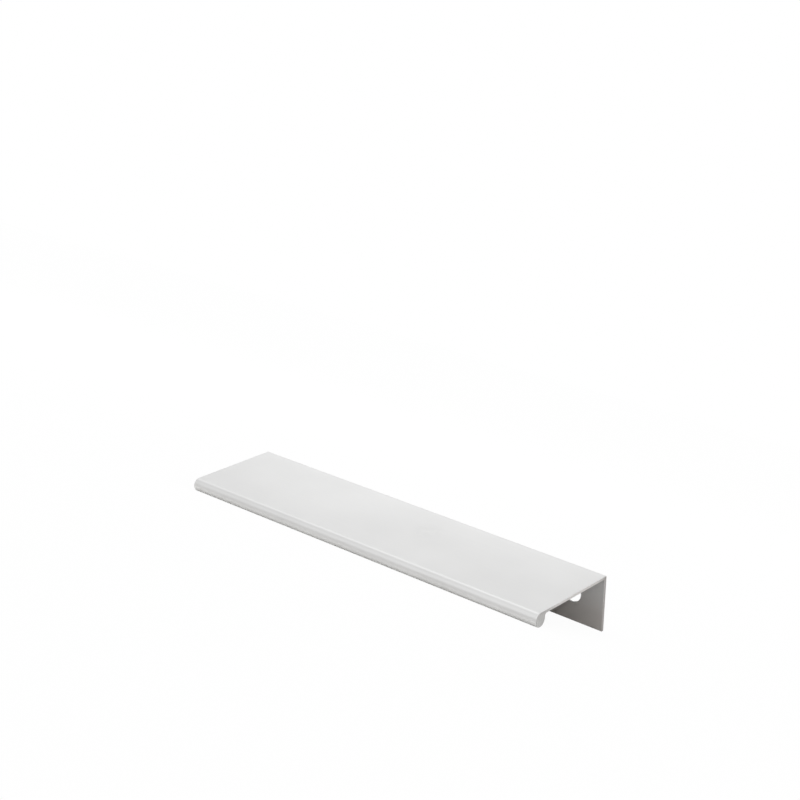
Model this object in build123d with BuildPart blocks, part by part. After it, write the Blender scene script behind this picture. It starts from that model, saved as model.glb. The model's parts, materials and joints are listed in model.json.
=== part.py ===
from build123d import *
import os
from math import asin, atan2, cos, degrees, hypot, radians, sin, tan

# L-shaped edge pull: one sawn length of extruded aluminium profile.
# A flat leaf lies over the top edge of a door or drawer front, a leg goes down the back of it,
# and a solid round lip under the leaf's front edge is what the fingers pull on.
# Two screw holes go through the leg, countersunk from its back face. All sizes are in millimetres.

# Overall sizes of the piece
length = 152.0
depth = 37.0
leg_height = 19.5

# The section's walls and its lip
leaf_thickness = 1.0
leg_thickness = 1.0
lip_diameter = 4.8

# Rounds of the section, as the die leaves them
corner_round = 0.35
inner_corner_round = 0.5
lip_blend_round = 1.0
foot_round = 0.25

# Screw holes through the leg
hole_diameter = 6.5
hole_spacing = 128.0
hole_drop = 9.5
countersink_depth = 0.5
countersink_angle = 90.0

# The broken edge of the sawn ends and of the holes' inner rims
edge_break = 0.12

# The section is drawn with the leaf's top face along its X axis and the leg's back face along its Y axis:
# the back top corner is at its origin, the front is towards -X and the leg goes down towards -Y.
lip_radius = lip_diameter / 2
lip_centre = (lip_radius - depth, -lip_radius)
foot_centre = (foot_round - leg_thickness, foot_round - leg_height)
heel_centre = (-foot_round, foot_round - leg_height)

# Laid down unheld, the piece tips forward and rests on its round lip and on the leg's foot.
# Its tilt brings the round of the lip and the round of the foot down to one level floor.
reach = foot_centre[0] - lip_centre[0]
rise = lip_centre[1] - foot_centre[1]
tilt = atan2(rise, reach) - asin((lip_radius - foot_round) / hypot(reach, rise))
back_way = Vector(0, cos(tilt), sin(tilt))
up_way = Vector(0, -sin(tilt), cos(tilt))


def place(point):
    """The place of a point of the section in the tilted piece, before the piece is centred."""
    return back_way * point[0] + up_way * point[1]


# The origin lies on the floor, in the middle of the piece's length and of its width on the floor.
front_edge = place(lip_centre).Y - lip_radius
back_edge = place(heel_centre).Y + foot_round
floor_level = place(foot_centre).Z - foot_round
section_origin = Vector(-length / 2, -(front_edge + back_edge) / 2, -floor_level)
section_plane = Plane(origin=section_origin, x_dir=back_way, z_dir=(1, 0, 0))

# The leg's back face, with the line of screw holes along its X axis
hole_line_middle = section_origin + Vector(length / 2, 0, 0) + place((0, -hole_drop))
leg_back_plane = Plane(origin=hole_line_middle, x_dir=(-1, 0, 0), z_dir=back_way)
hole_radius = hole_diameter / 2
countersink_radius = hole_radius + countersink_depth * tan(radians(countersink_angle / 2))

# Handle profile: the section drawn out along its length, with the screw holes drilled
with BuildPart() as handle_profile:
    with BuildSketch(section_plane) as section:
        with Locations(lip_centre):
            Circle(lip_radius)
        with Locations((lip_centre[0], 0)):
            Rectangle(-lip_centre[0], leaf_thickness, align=(Align.MIN, Align.MAX))
        Rectangle(leg_thickness, leg_height, align=(Align.MAX, Align.MAX))

        def corner(point):
            """The corner of the section nearest to a point."""
            return section.vertices().sort_by_distance(point)[0]

        underside_gap = lip_radius - leaf_thickness
        blend_corner_x = lip_centre[0] + (lip_radius**2 - underside_gap**2) ** 0.5
        fillet(corner((0, 0)), corner_round)
        fillet(corner((-leg_thickness, -leaf_thickness)), inner_corner_round)
        fillet(corner((blend_corner_x, -leaf_thickness)), lip_blend_round)
        fillet(corner((-leg_thickness, -leg_height)), foot_round)
        fillet(corner((0, -leg_height)), foot_round)
    extrude(amount=length)

    with Locations(leg_back_plane):
        with GridLocations(hole_spacing, 0, 2, 1):
            CounterSinkHole(
                hole_radius,
                countersink_radius,
                depth=leg_thickness,
                counter_sink_angle=countersink_angle,
            )
    hole_circles = edges(Select.LAST).filter_by(GeomType.CIRCLE)
    inner_rims = hole_circles.group_by(Axis(section_origin, back_way))[0]
    chamfer(inner_rims, edge_break)

    sawn_ends = faces().filter_by(Axis.X)
    chamfer(sawn_ends.edges(), edge_break)

handle_profile.part.label = "handle_profile"

os.makedirs("parts", exist_ok=True)
export_step(handle_profile.part, "parts/handle_profile.step")

print(f"rests tilted {degrees(tilt):.3f} degrees, section origin {section_origin}")
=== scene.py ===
import json
from math import acos, cos, pi, radians, sin

import bmesh
import bpy
from mathutils import Euler, Matrix, Vector


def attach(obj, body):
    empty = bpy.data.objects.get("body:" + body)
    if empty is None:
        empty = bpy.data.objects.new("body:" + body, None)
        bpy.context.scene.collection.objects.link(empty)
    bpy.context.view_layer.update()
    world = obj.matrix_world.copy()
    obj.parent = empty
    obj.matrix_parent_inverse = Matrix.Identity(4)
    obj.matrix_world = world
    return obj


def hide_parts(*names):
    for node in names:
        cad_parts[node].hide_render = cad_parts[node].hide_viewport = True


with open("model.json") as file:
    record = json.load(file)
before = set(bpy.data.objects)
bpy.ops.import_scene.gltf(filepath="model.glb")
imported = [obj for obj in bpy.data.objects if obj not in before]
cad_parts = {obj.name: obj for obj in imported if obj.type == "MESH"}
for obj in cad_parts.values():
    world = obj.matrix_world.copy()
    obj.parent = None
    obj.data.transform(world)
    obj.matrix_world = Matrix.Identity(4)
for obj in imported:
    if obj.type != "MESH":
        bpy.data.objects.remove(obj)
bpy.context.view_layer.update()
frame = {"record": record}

scene = bpy.context.scene
MM = 0.001
WHITE = (1, 1, 1, 1)

# Sizes of the pull, in metres. They are the sizes of the solid that the dressed profile stands for.
LENGTH = 152.0 * MM
DEPTH = 37.0 * MM
LEG_HEIGHT = 19.5 * MM
LEAF_THICKNESS = 1.0 * MM
LEG_THICKNESS = 1.0 * MM
LIP_RADIUS = 2.4 * MM
CORNER_ROUND = 0.35 * MM
INNER_CORNER_ROUND = 0.5 * MM
LIP_BLEND_ROUND = 1.0 * MM
FOOT_ROUND = 0.25 * MM
HOLE_RADIUS = 3.25 * MM
HOLE_SPACING = 128.0 * MM
HOLE_DROP = 9.5 * MM
COUNTERSINK_DEPTH = 0.5 * MM
EDGE_BREAK = 0.12 * MM

# Fineness of the dressed mesh. A support is a narrow face beside a round, and keeps the shading flat there.
ARC_STEP = radians(4)
SUPPORT = 0.05 * MM
SAME_POINT = 0.001 * MM
END_ROUND_STEPS = 4
HOLE_SIDES = 96
SHARP_ANGLE = radians(32)

# Drilling nodes: how far a drill stands out of the wall, how squarely a face has to look along the length to
# count as sawn, and the named inputs
DRILL_REACH = 1.0 * MM
SAWN_FACING = 0.5
DRILLING_INPUTS = {
    "Geometry": "NodeSocketGeometry",
    "Hole Radius": "NodeSocketFloat",
    "Wall": "NodeSocketFloat",
    "Countersink Depth": "NodeSocketFloat",
    "Edge Break": "NodeSocketFloat",
    "Spacing": "NodeSocketFloat",
    "Row Middle": "NodeSocketVector",
    "Turn": "NodeSocketRotation",
    "Half Length": "NodeSocketFloat",
    "Skin": "NodeSocketMaterial",
    "Sawn": "NodeSocketMaterial",
    "Drilled": "NodeSocketMaterial",
}

# The finishes measure in millimetres. A noise is given by its features for each millimetre along the length
# and across it, and a relief by its height. A tone is 0 at a finish's plain colour and 1 at its pale one.

# Satin anodised skin. Its faint cloudy tone is partly the etching's and partly painted light: the shift
# brings it to lie much as in the photograph, paler where the leaf is lit brighter and darker where it is lit
# dimmer.
# The smudge's place is measured along from the leaf's middle and back from its back edge.
SATIN = (0.768, 0.768, 0.764, 1)
SATIN_PALE = (0.842, 0.842, 0.838, 1)
SATIN_ROUGHNESS = 0.30
PAINTED_LIGHT_CLOUDS = (0.045, 0.045)
PAINTED_LIGHT_SHIFT = (164.0, 350.0, 150.0)
LINES = (0.012, 1.1)
LINE_HEIGHT = 0.008
HAIRLINES = (0.03, 5.0)
HAIRLINE_TONE = 0.5
HAIRLINE_HEIGHT = 0.002
GRAIN = (9.0, 9.0)
GRAIN_HEIGHT = 0.0012
SMUDGE_PLACE = (13.0, -13.4)
SMUDGE_RADII = (1.0, 7.5)
SMUDGE_PATCHES = (0.3, 0.5)
SMUDGE_CONTRAST = (0.3, 0.7)
SMUDGE_TONE = 0.5

# Sawn ends. The blade turned about an axis along X. A band between two distances from that axis is painted
# light, which makes the leaf's end paler.
SAWN = (0.58, 0.58, 0.575, 1)
SAWN_PALE = (0.94, 0.94, 0.935, 1)
SAWN_TONE = 0.06
SAWN_ROUGHNESS = 0.42
SAWN_PATCHES = (0.5, 0.5)
SAW_AXIS = (0, 100.0, 10.0)
SAW_MARKS_PER_MM = 2.2
SAW_MARK_HEIGHT = 0.02
PAINTED_LIGHT_BAND_START = (87.0, 92.0)
PAINTED_LIGHT_BAND_END = (110.0, 117.0)
PAINTED_LIGHT_BAND_TONE = 0.92

# The sawn ends' broken edge, smoother and paler with a painted highlight: how far in from the end it begins
# and where it is full
BROKEN_EDGE = (0.06, 0.01)
BROKEN_EDGE_PAINTED_HIGHLIGHT = 0.4
BROKEN_EDGE_ROUGHNESS = 0.30

# Drilled walls
DRILLED_TONE = 0.6
DRILLED_ROUGHNESS = 0.24
BIT_MARKS_PER_MM = 14.0
BIT_MARK_HEIGHT = 0.006
CHATTER = (2.5, 2.5)
CHATTER_HEIGHT = 0.004

# Floor. Its paper carries painted light and shade in the light that it gives back: painted light under the
# leaf, a painted shade before the pull and a painted shadow behind it, each turning to the next over a
# stretch of Y.
# To the camera it is white, and only a small share of that white is shaded.
FLOOR_REACH = 20.0
PAPER_PAINTED_SHADE_FRONT = (0.74, 0.735, 0.73, 1)
PAPER_PAINTED_LIGHT_UNDER = (0.97, 0.965, 0.955, 1)
PAPER_PAINTED_SHADOW_BEHIND = (0.555, 0.522, 0.50, 1)
FRONT_TO_UNDER = (-0.026, -0.0185)
UNDER_TO_BACK = (0.003, 0.015)
UNSHADED_SHARE = 0.95

# A strip box hangs behind the pull, along its length. Its front edge shows in the leaf as a soft gradient.
# A lamp shows at a level when its power is four times that level for each square metre.
STRIP_LEVEL = 0.75
STRIP_POWER = 4 * STRIP_LEVEL
STRIP_HEIGHT = 0.45
STRIP_X = (-1.2, -0.22)
STRIP_Y = (0.35, 0.6)

# Studio light: an even tent round the pull, with soft boxes that are stronger or weaker than the tent. Each
# has its strength, its direction, and the angles from there within which it is full and past which it ends.
TENT_LEVEL = 0.93
SOFT_BOXES = {
    "left_ceiling": (-0.57, (-0.62, 0.51, 0.59), 12, 45),
    "ceiling_edge": (0.54, (-0.62, 0.10, 0.78), 5, 25),
    "front_ceiling": (-0.18, (-0.62, -0.26, 0.74), 5, 22),
    "right_ceiling": (0.24, (-0.46, 0.44, 0.77), 6, 24),
    "back_right": (-0.41, (0.62, 0.78, 0.0), 15, 55),
    "left_low": (-0.17, (-1.0, -0.3, 0.15), 10, 40),
    "right_front": (1.02, (0.75, -0.65, 0.1), 10, 35),
    "right_end": (1.5, (1.0, -0.15, 0.12), 10, 35),
}

# Camera: lens and sensor in millimetres, near and far limits and place in metres, angles in degrees
LENS = 75.743
SENSOR = 36
CLIP_START = 0.01
CLIP_END = 100
CAMERA_PLACE = (0.340984, -0.451611, 0.074786)
CAMERA_AZIMUTH = 38.0840
CAMERA_ELEVATION = 2.2839
CAMERA_ROLL = 15.9091


class Wire:
    """A socket of a node tree. Arithmetic on it adds Math nodes, and node() adds any other node."""

    def __init__(self, tree, socket=None):
        self.tree = tree
        self.socket = socket

    def node(self, kind, settings=None, inputs=None, output=0):
        """Adds a node: its settings first, then its sockets' values or links. Gives one output as a wire."""
        made = self.tree.nodes.new(kind)
        for name, value in (settings or {}).items():
            setattr(made, name, value)
        for name, value in (inputs or {}).items():
            if isinstance(value, Wire):
                self.tree.links.new(value.socket, made.inputs[name])
            else:
                made.inputs[name].default_value = value
        return Wire(self.tree, made.outputs[output] if made.outputs else None)

    def output(self, name):
        """Another output of the same node."""
        return Wire(self.tree, self.socket.node.outputs[name])

    def math(self, operation, *values):
        """A Math node on any values. The operators below are those that the expressions use."""
        return self.node("ShaderNodeMath", {"operation": operation}, dict(enumerate(values)))

    def __add__(self, other):
        return self.math("ADD", self, other)

    def __radd__(self, other):
        return self.math("ADD", other, self)

    def __sub__(self, other):
        return self.math("SUBTRACT", self, other)

    def __rsub__(self, other):
        return self.math("SUBTRACT", other, self)

    def __mul__(self, other):
        return self.math("MULTIPLY", self, other)

    def __rmul__(self, other):
        return self.math("MULTIPLY", other, self)

    def __neg__(self):
        return self.math("SUBTRACT", 0, self)

    def __abs__(self):
        return self.math("ABSOLUTE", self)

    def __gt__(self, other):
        return self.math("GREATER_THAN", self, other)

    def __lt__(self, other):
        return self.math("LESS_THAN", self, other)

    def step(self, low, high):
        """A smooth step of the value, from 0 at low to 1 at high."""
        settings = {"interpolation_type": "SMOOTHSTEP"}
        return self.node("ShaderNodeMapRange", settings, {"Value": self, "From Min": low, "From Max": high})


def vector_math(operation, first, *others, output="Vector"):
    """A Vector Math node on a wire and any more vectors."""
    inputs = dict(enumerate((first, *others)))
    return first.node("ShaderNodeVectorMath", {"operation": operation}, inputs, output)


def coordinate(spot, axis):
    """One coordinate of a place or a direction: X, Y or Z."""
    return spot.node("ShaderNodeSeparateXYZ", inputs={"Vector": spot}, output=axis)


# Where the section lies. The screw holes point back along the leaf, and the leaf's underside faces down.
mounts = {mount["name"]: mount for mount in frame["record"]["mounts"]}
back_way = Vector(mounts["screw_hole_right"]["axis"])
up_way = -Vector(mounts["leaf_underside"]["axis"])
top_level = Vector(mounts["leaf_underside"]["pos_m"]).dot(up_way) + LEAF_THICKNESS
back_level = Vector(mounts["leg_inner_face"]["pos_m"]).dot(back_way) + LEG_THICKNESS
back_corner = back_way * back_level + up_way * top_level


def place(x, back, up):
    """A point of the pull: x along its length, and back and up from the section's back top corner."""
    return Vector((x, 0, 0)) + back_corner + back_way * back + up_way * up


def arc(centre, radius, start, turn):
    """Points of an arc, each with its normal out of the section. A hollow arc has a turn below 0."""
    count = max(2, round(abs(turn) / ARC_STEP))
    side = 1 if turn > 0 else -1
    points = []
    for i in range(count + 1):
        angle = start + turn * i / count
        way = Vector((cos(angle), sin(angle)))
        points.append((Vector(centre) + radius * way, way * side))
    return points


def section_outline():
    """The section's outline and its normals, from the back top corner over the leaf, the lip and the leg."""
    lip = Vector((LIP_RADIUS - DEPTH, -LIP_RADIUS))
    hollow_level = -LEAF_THICKNESS - LIP_BLEND_ROUND
    hollow_reach = LIP_RADIUS + LIP_BLEND_ROUND
    hollow = Vector((lip.x + (hollow_reach**2 - (hollow_level - lip.y) ** 2) ** 0.5, hollow_level))
    lip_end = -acos((hollow - lip).x / hollow_reach)
    if hollow.y > lip.y:
        lip_end = -lip_end
    inner = (-LEG_THICKNESS - INNER_CORNER_ROUND, -LEAF_THICKNESS - INNER_CORNER_ROUND)
    foot_level = FOOT_ROUND - LEG_HEIGHT
    arcs = [
        arc((-CORNER_ROUND, -CORNER_ROUND), CORNER_ROUND, 0, pi / 2),
        arc(lip, LIP_RADIUS, pi / 2, 3 * pi / 2 + lip_end),
        arc(hollow, LIP_BLEND_ROUND, pi + lip_end, -pi / 2 - lip_end),
        arc(inner, INNER_CORNER_ROUND, pi / 2, -pi / 2),
        arc((FOOT_ROUND - LEG_THICKNESS, foot_level), FOOT_ROUND, pi, pi / 2),
        arc((-FOOT_ROUND, foot_level), FOOT_ROUND, -pi / 2, pi / 2),
    ]
    outline = []
    for points, following in zip(arcs, arcs[1:] + arcs[:1]):
        outline += points
        (start, start_way), (end, end_way) = points[-1], following[0]
        along = (end - start).normalized() * SUPPORT
        if (end - start).length > 2 * SUPPORT:
            outline += [(start + along, start_way), (end - along, end_way)]
        elif (end - start).length < SAME_POINT:
            outline.pop()
    return outline


def end_rings():
    """Each ring's distance in from the sawn end and its inset: before the round, over it and on the end."""
    rings = [(EDGE_BREAK + SUPPORT, 0.0)]
    for i in range(END_ROUND_STEPS + 1):
        turn = pi / 2 * i / END_ROUND_STEPS
        rings.append((EDGE_BREAK * (1 - sin(turn)), EDGE_BREAK * (1 - cos(turn))))
    rings.append((0.0, EDGE_BREAK + SUPPORT))
    return rings


def sawn_length():
    """The profile's length without its holes: rings of the outline, rounded over and closed at both ends."""
    outline = section_outline()
    right = [(LENGTH / 2 - distance, inset) for distance, inset in end_rings()]
    left = [(-x, inset) for x, inset in reversed(right)]
    shape = bmesh.new()
    rings = []
    for x, inset in left + right:
        rings.append([shape.verts.new(place(x, *(point - way * inset))) for point, way in outline])
    for near, far in zip(rings, rings[1:]):
        for i in range(len(outline)):
            j = (i + 1) % len(outline)
            shape.faces.new((near[i], near[j], far[j], far[i]))
    shape.faces.new(reversed(rings[0]))
    shape.faces.new(rings[-1])
    mesh = bpy.data.meshes.new("aluminium_profile")
    shape.to_mesh(mesh)
    shape.free()
    piece = bpy.data.objects.new("aluminium_profile", mesh)
    scene.collection.objects.link(piece)
    return piece


def drill_shape(given):
    """A turned drill along Z, with the wall's back at 0. It widens for the broken edge at the wall's front
    and for the countersink at its back, each by as much as it is deep."""
    wall = given.output("Wall")
    sink = given.output("Countersink Depth")
    rim = given.output("Edge Break")
    heights = [-(wall + DRILL_REACH), rim - wall, -sink, DRILL_REACH]
    # Each point of the drill's axis takes the height of its own number
    number = given.node("GeometryNodeInputIndex")
    height = heights[-1]
    for i, level in reversed(list(enumerate(heights[:-1]))):
        height = height + (number < i + 0.5) * (level - height)
    line = given.node("GeometryNodeMeshLine", inputs={"Count": len(heights), "Offset": (0, 0, 0)})
    spot = given.node("ShaderNodeCombineXYZ", inputs={"Z": height})
    line = given.node("GeometryNodeSetPosition", inputs={"Geometry": line, "Position": spot})
    axis = given.node("GeometryNodeMeshToCurve", inputs={"Mesh": line})
    z = coordinate(given.node("GeometryNodeInputPosition"), "Z")
    flare = z.math("MAXIMUM", z + sink, 0.0) + z.math("MAXIMUM", rim - wall - z, 0.0)
    circle = given.node("GeometryNodeCurvePrimitiveCircle", inputs={"Resolution": HOLE_SIDES, "Radius": 1.0})
    radius = given.output("Hole Radius") + flare
    turned = {"Curve": axis, "Profile Curve": circle, "Scale": radius, "Fill Caps": True}
    drill = given.node("GeometryNodeCurveToMesh", inputs=turned)
    finish = {"Geometry": drill, "Material": given.output("Drilled")}
    return given.node("GeometryNodeSetMaterial", inputs=finish)


def drill_row(given, drill):
    """The drill at both holes of the row."""
    spacing = given.node("ShaderNodeCombineXYZ", inputs={"X": given.output("Spacing")})
    start = vector_math("MULTIPLY_ADD", spacing, (-0.5, 0, 0), given.output("Row Middle"))
    row = given.node("GeometryNodeMeshLine", inputs={"Count": 2, "Start Location": start, "Offset": spacing})
    placed = {"Points": row, "Instance": drill, "Rotation": given.output("Turn")}
    drills = given.node("GeometryNodeInstanceOnPoints", inputs=placed)
    return given.node("GeometryNodeRealizeInstances", inputs={"Geometry": drills})


def soften(shape):
    """Smooth shading, but not across sharp edges."""
    smooth = {"Geometry": shape, "Shade Smooth": True}
    shape = shape.node("GeometryNodeSetShadeSmooth", {"domain": "FACE"}, smooth)
    angle = shape.node("GeometryNodeInputMeshEdgeAngle")
    sharp = {"Geometry": shape, "Selection": angle > SHARP_ANGLE, "Shade Smooth": False}
    return shape.node("GeometryNodeSetShadeSmooth", {"domain": "EDGE"}, sharp)


def drilling_tree():
    """Geometry Nodes that drill two countersunk holes through a wall and give each surface its finish."""
    tree = bpy.data.node_groups.new("drilled_holes", "GeometryNodeTree")
    for name, kind in DRILLING_INPUTS.items():
        tree.interface.new_socket(name, in_out="INPUT", socket_type=kind)
    tree.interface.new_socket("Geometry", in_out="OUTPUT", socket_type="NodeSocketGeometry")
    given = Wire(tree).node("NodeGroupInput")
    skin = {"Geometry": given.output("Geometry"), "Material": given.output("Skin")}
    blank = given.node("GeometryNodeSetMaterial", inputs=skin)
    drills = drill_row(given, drill_shape(given))
    cut = {"operation": "DIFFERENCE", "solver": "EXACT"}
    meshes = {"Mesh 1": blank, "Mesh 2": drills, "Self Intersection": True}
    shape = soften(given.node("GeometryNodeMeshBoolean", cut, meshes))
    shape = given.node("GeometryNodeRealizeInstances", inputs={"Geometry": shape})
    x = coordinate(given.node("GeometryNodeInputPosition"), "X")
    facing_x = coordinate(given.node("GeometryNodeInputNormal"), "X")
    near_end = abs(x) > given.output("Half Length") - 2 * given.output("Edge Break")
    end_faces = near_end * (abs(facing_x) > SAWN_FACING)
    finish = {"Geometry": shape, "Selection": end_faces, "Material": given.output("Sawn")}
    shape = given.node("GeometryNodeSetMaterial", inputs=finish)
    given.node("NodeGroupOutput", inputs={"Geometry": shape})
    return tree


def drill_holes(blank, settings):
    """Runs the drilling nodes on the blank and keeps the plain mesh that they give."""
    tree = drilling_tree()
    modifier = blank.modifiers.new("drilled_holes", "NODES")
    modifier.node_group = tree
    for item in tree.interface.items_tree:
        if item.name in settings:
            modifier[item.identifier] = settings[item.name]
    bpy.context.view_layer.update()
    evaluated = blank.evaluated_get(bpy.context.evaluated_depsgraph_get())
    mesh = bpy.data.meshes.new_from_object(evaluated)
    blank.modifiers.remove(modifier)
    blank.data = mesh
    mesh.name = blank.name


def emptied_nodes(owner):
    """A material's or world's node tree without its first nodes, as a wire that adds nodes to it."""
    owner.use_nodes = True
    owner.node_tree.nodes.clear()
    return Wire(owner.node_tree)


def metal(name, finish):
    """A metal. The finish gives its shader's sockets, from a wire for the place in millimetres."""
    material = bpy.data.materials.new(name)
    spot = emptied_nodes(material).node("ShaderNodeTexCoord", output="Object")
    spot = vector_math("MULTIPLY", spot, (1 / MM, 1 / MM, 1 / MM))
    shader = spot.node("ShaderNodeBsdfPrincipled", inputs={"Metallic": 1.0, **finish(spot)})
    spot.node("ShaderNodeOutputMaterial", inputs={"Surface": shader})
    return material


def noise(spot, features, detail=2.0):
    """Noise from 0 to 1, with its features for each millimetre along the length and across it."""
    along, across = features
    spot = vector_math("MULTIPLY", spot, (along, across, across))
    return spot.node("ShaderNodeTexNoise", inputs={"Vector": spot, "Scale": 1.0, "Detail": detail})


def tool_marks(distance, marks_per_mm):
    """Uneven rings from 0 to 1 over a distance in millimetres."""
    inputs = {"W": distance, "Scale": marks_per_mm, "Detail": 3.0}
    return distance.node("ShaderNodeTexNoise", {"noise_dimensions": "1D"}, inputs)


def vary(middle, *noises):
    """A value that noises push up and down from its middle, each by its own amount."""
    for pattern, amount in noises:
        middle = middle + amount * (pattern - 0.5)
    return middle


def blend(factor, low, high):
    """A colour between two others. The Mix node's colour sockets share their names, so they go by number."""
    return factor.node("ShaderNodeMix", {"data_type": "RGBA"}, {0: factor, 6: low, 7: high}, output=2)


def relief(height):
    """The normal that a height in millimetres gives."""
    return height.node("ShaderNodeBump", inputs={"Strength": 1.0, "Distance": MM, "Height": height})


def extruded(spot):
    """Satin anodised skin: a faint cloudy tone of etching and painted light, the die's fine lines, a matt
    grain and a smudge.
    """
    painted_light_clouds = noise(vector_math("ADD", spot, PAINTED_LIGHT_SHIFT), PAINTED_LIGHT_CLOUDS, detail=1.0)
    lines = noise(spot, LINES)
    hairlines = noise(spot, HAIRLINES, detail=4.0)
    grain = noise(spot, GRAIN)
    along, back = SMUDGE_PLACE
    smudge_middle = place(along * MM, back * MM, 0) / MM
    away = vector_math("DISTANCE", spot, smudge_middle, output="Value")
    smudge = (1 - away.step(*SMUDGE_RADII)) * noise(spot, SMUDGE_PATCHES).step(*SMUDGE_CONTRAST)
    # Painted light: the cloudy tone makes the leaf paler where it is lit brighter and darker where it is lit
    # dimmer.
    tone = vary(painted_light_clouds, (hairlines, HAIRLINE_TONE)) - SMUDGE_TONE * smudge
    return {
        "Base Color": blend(tone, SATIN, SATIN_PALE),
        "Roughness": vary(SATIN_ROUGHNESS, (painted_light_clouds, 0.02), (lines, 0.03), (hairlines, 0.03)),
        "Normal": relief(LINE_HEIGHT * lines + HAIRLINE_HEIGHT * hairlines + GRAIN_HEIGHT * grain),
    }


def sawn(spot):
    """Sawn end: the blade's curved marks over the cut, a band of painted light on the leaf's end, and a
    broken edge that is smoother and bright with a painted highlight.
    """
    across = vector_math("MULTIPLY", spot, (0, 1, 1))
    reach = vector_math("DISTANCE", across, SAW_AXIS, output="Value")
    marks = tool_marks(reach, SAW_MARKS_PER_MM)
    patches = noise(spot, SAWN_PATCHES)
    painted_light_band = reach.step(*PAINTED_LIGHT_BAND_START) * (1 - reach.step(*PAINTED_LIGHT_BAND_END))
    edge_start, edge_end = (LENGTH / 2 / MM - distance for distance in BROKEN_EDGE)
    edge = 1 - abs(coordinate(spot, "X")).step(edge_start, edge_end)
    # Painted light: the band makes the leaf's end paler.
    tone = vary(SAWN_TONE + PAINTED_LIGHT_BAND_TONE * painted_light_band, (marks, 0.7), (patches, 0.4))
    rough = vary(SAWN_ROUGHNESS, (patches, 0.15))
    return {
        # Painted highlight: the broken edge is paler, besides being smoother.
        "Base Color": blend(tone + BROKEN_EDGE_PAINTED_HIGHLIGHT * edge, SAWN, SAWN_PALE),
        "Roughness": rough - edge * (rough - BROKEN_EDGE_ROUGHNESS),
        "Normal": relief(SAW_MARK_HEIGHT * marks * (1 - edge)),
    }


def drilled(spot):
    """Drilled wall: bright rings that the bit's edge left round the hole."""
    marks = tool_marks(vector_math("DOT_PRODUCT", spot, back_way, output="Value"), BIT_MARKS_PER_MM)
    chatter = noise(spot, CHATTER)
    return {
        "Base Color": blend(vary(DRILLED_TONE, (marks, 0.8), (chatter, 0.4)), SATIN, SAWN_PALE),
        "Roughness": vary(DRILLED_ROUGHNESS, (chatter, 0.05)),
        "Normal": relief(BIT_MARK_HEIGHT * marks + CHATTER_HEIGHT * chatter),
    }


def mixed_shader(factor, first, second):
    """A share of the second shader over the first. Both sockets have one name, so they go by number."""
    return first.node("ShaderNodeMixShader", inputs={"Fac": factor, 1: first, 2: second})


def for_camera(others, camera):
    """One shader for the camera's rays, and another for all others."""
    camera_ray = others.node("ShaderNodeLightPath", output="Is Camera Ray")
    return mixed_shader(camera_ray, others, camera)


def white_paper():
    """The floor's paper: white to the camera, and to other rays in three tones of painted light and shade.
    """
    paper = bpy.data.materials.new("white_paper")
    y = coordinate(emptied_nodes(paper).node("ShaderNodeTexCoord", output="Object"), "Y")
    # Painted light under the leaf, painted shade before the pull and a painted shadow behind it
    tone = blend(y.step(*FRONT_TO_UNDER), PAPER_PAINTED_SHADE_FRONT, PAPER_PAINTED_LIGHT_UNDER)
    tone = blend(y.step(*UNDER_TO_BACK), tone, PAPER_PAINTED_SHADOW_BEHIND)
    lit = y.node("ShaderNodeBsdfDiffuse", inputs={"Color": tone})
    shaded = y.node("ShaderNodeBsdfDiffuse", inputs={"Color": WHITE})
    unshaded = y.node("ShaderNodeEmission", inputs={"Color": WHITE, "Strength": 1.0})
    surface = for_camera(lit, mixed_shader(UNSHADED_SHARE, shaded, unshaded))
    y.node("ShaderNodeOutputMaterial", inputs={"Surface": surface})
    return paper


def level_floor():
    """A level floor under the pull."""
    corners = [(x * FLOOR_REACH, y * FLOOR_REACH, 0) for x, y in ((-1, -1), (1, -1), (1, 1), (-1, 1))]
    mesh = bpy.data.meshes.new("floor")
    mesh.from_pydata(corners, [], [(0, 1, 2, 3)])
    mesh.materials.append(white_paper())
    floor = bpy.data.objects.new("floor", mesh)
    scene.collection.objects.link(floor)
    return floor


def hang_strip():
    """The strip box behind the pull."""
    strip = bpy.data.lights.new("back_strip", "AREA")
    strip.shape = "RECTANGLE"
    strip.size = STRIP_X[1] - STRIP_X[0]
    strip.size_y = STRIP_Y[1] - STRIP_Y[0]
    strip.energy = STRIP_POWER * strip.size * strip.size_y
    hung = bpy.data.objects.new("back_strip", strip)
    hung.location = (sum(STRIP_X) / 2, sum(STRIP_Y) / 2, STRIP_HEIGHT)
    hung.visible_camera = False
    scene.collection.objects.link(hung)


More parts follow.
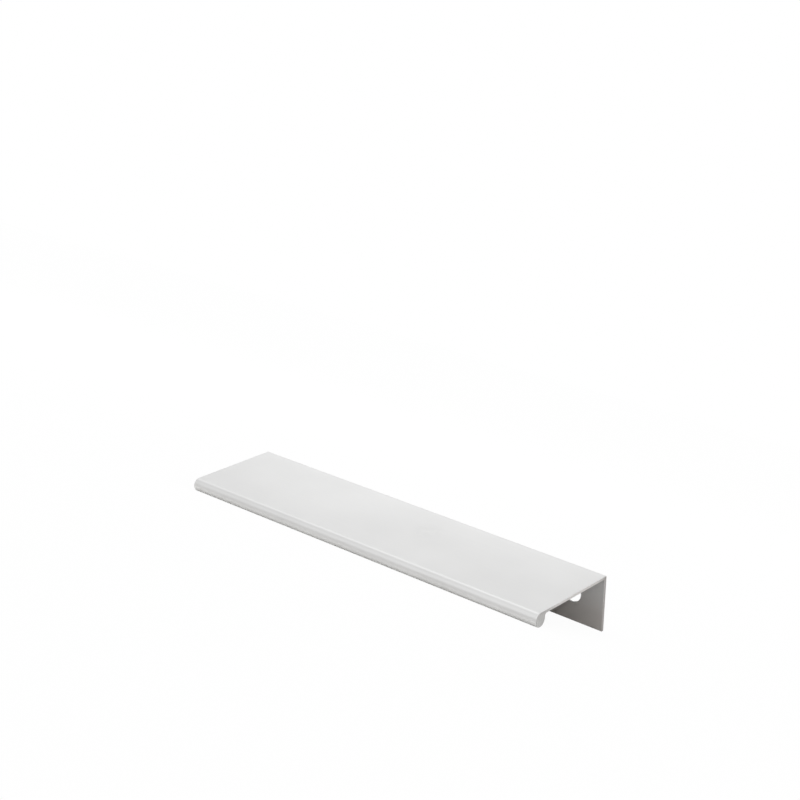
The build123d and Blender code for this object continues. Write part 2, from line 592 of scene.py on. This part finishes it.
def lobe(way, direction, inner, outer):
    """1 within inner degrees of a direction, falling to 0 at outer degrees."""
    near = vector_math("DOT_PRODUCT", way, Vector(direction).normalized(), output="Value")
    return near.step(cos(radians(outer)), cos(radians(inner)))


def light_studio():
    """The tent and its soft boxes, which light the pull and show in it. The camera sees plain white."""
    world = bpy.data.worlds.new("studio")
    way = emptied_nodes(world).node("ShaderNodeTexCoord", output="Generated")
    light = TENT_LEVEL
    for strength, direction, inner, outer in SOFT_BOXES.values():
        light = light + strength * lobe(way, direction, inner, outer)
    tent = way.node("ShaderNodeBackground", inputs={"Color": WHITE, "Strength": light})
    white = way.node("ShaderNodeBackground", inputs={"Color": WHITE, "Strength": 1.0})
    way.node("ShaderNodeOutputWorld", inputs={"Surface": for_camera(tent, white)})
    scene.world = world


def set_camera():
    """The photograph's view. The pull lies tipped forward, so the camera stands low and is rolled."""
    lens = bpy.data.cameras.new("camera")
    lens.lens = LENS
    lens.sensor_width = SENSOR
    lens.clip_start = CLIP_START
    lens.clip_end = CLIP_END
    camera = bpy.data.objects.new("camera", lens)
    scene.collection.objects.link(camera)
    camera.location = CAMERA_PLACE
    aim = Euler((radians(90 - CAMERA_ELEVATION), 0, radians(CAMERA_AZIMUTH))).to_matrix()
    camera.rotation_euler = (aim @ Matrix.Rotation(radians(CAMERA_ROLL), 3, "Z")).to_euler()
    scene.camera = camera


piece = sawn_length()
drill_holes(
    piece,
    {
        "Hole Radius": HOLE_RADIUS,
        "Wall": LEG_THICKNESS,
        "Countersink Depth": COUNTERSINK_DEPTH,
        "Edge Break": EDGE_BREAK,
        "Spacing": HOLE_SPACING,
        "Row Middle": place(0, 0, -HOLE_DROP),
        "Turn": (-acos(back_way.z), 0, 0),
        "Half Length": LENGTH / 2,
        "Skin": metal("satin_skin", extruded),
        "Sawn": metal("sawn_end", sawn),
        "Drilled": metal("drilled_wall", drilled),
    },
)
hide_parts("handle_profile")
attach(piece, "root")

floor = level_floor()
hang_strip()
light_studio()
set_camera()
scene.view_settings.view_transform = "Standard"
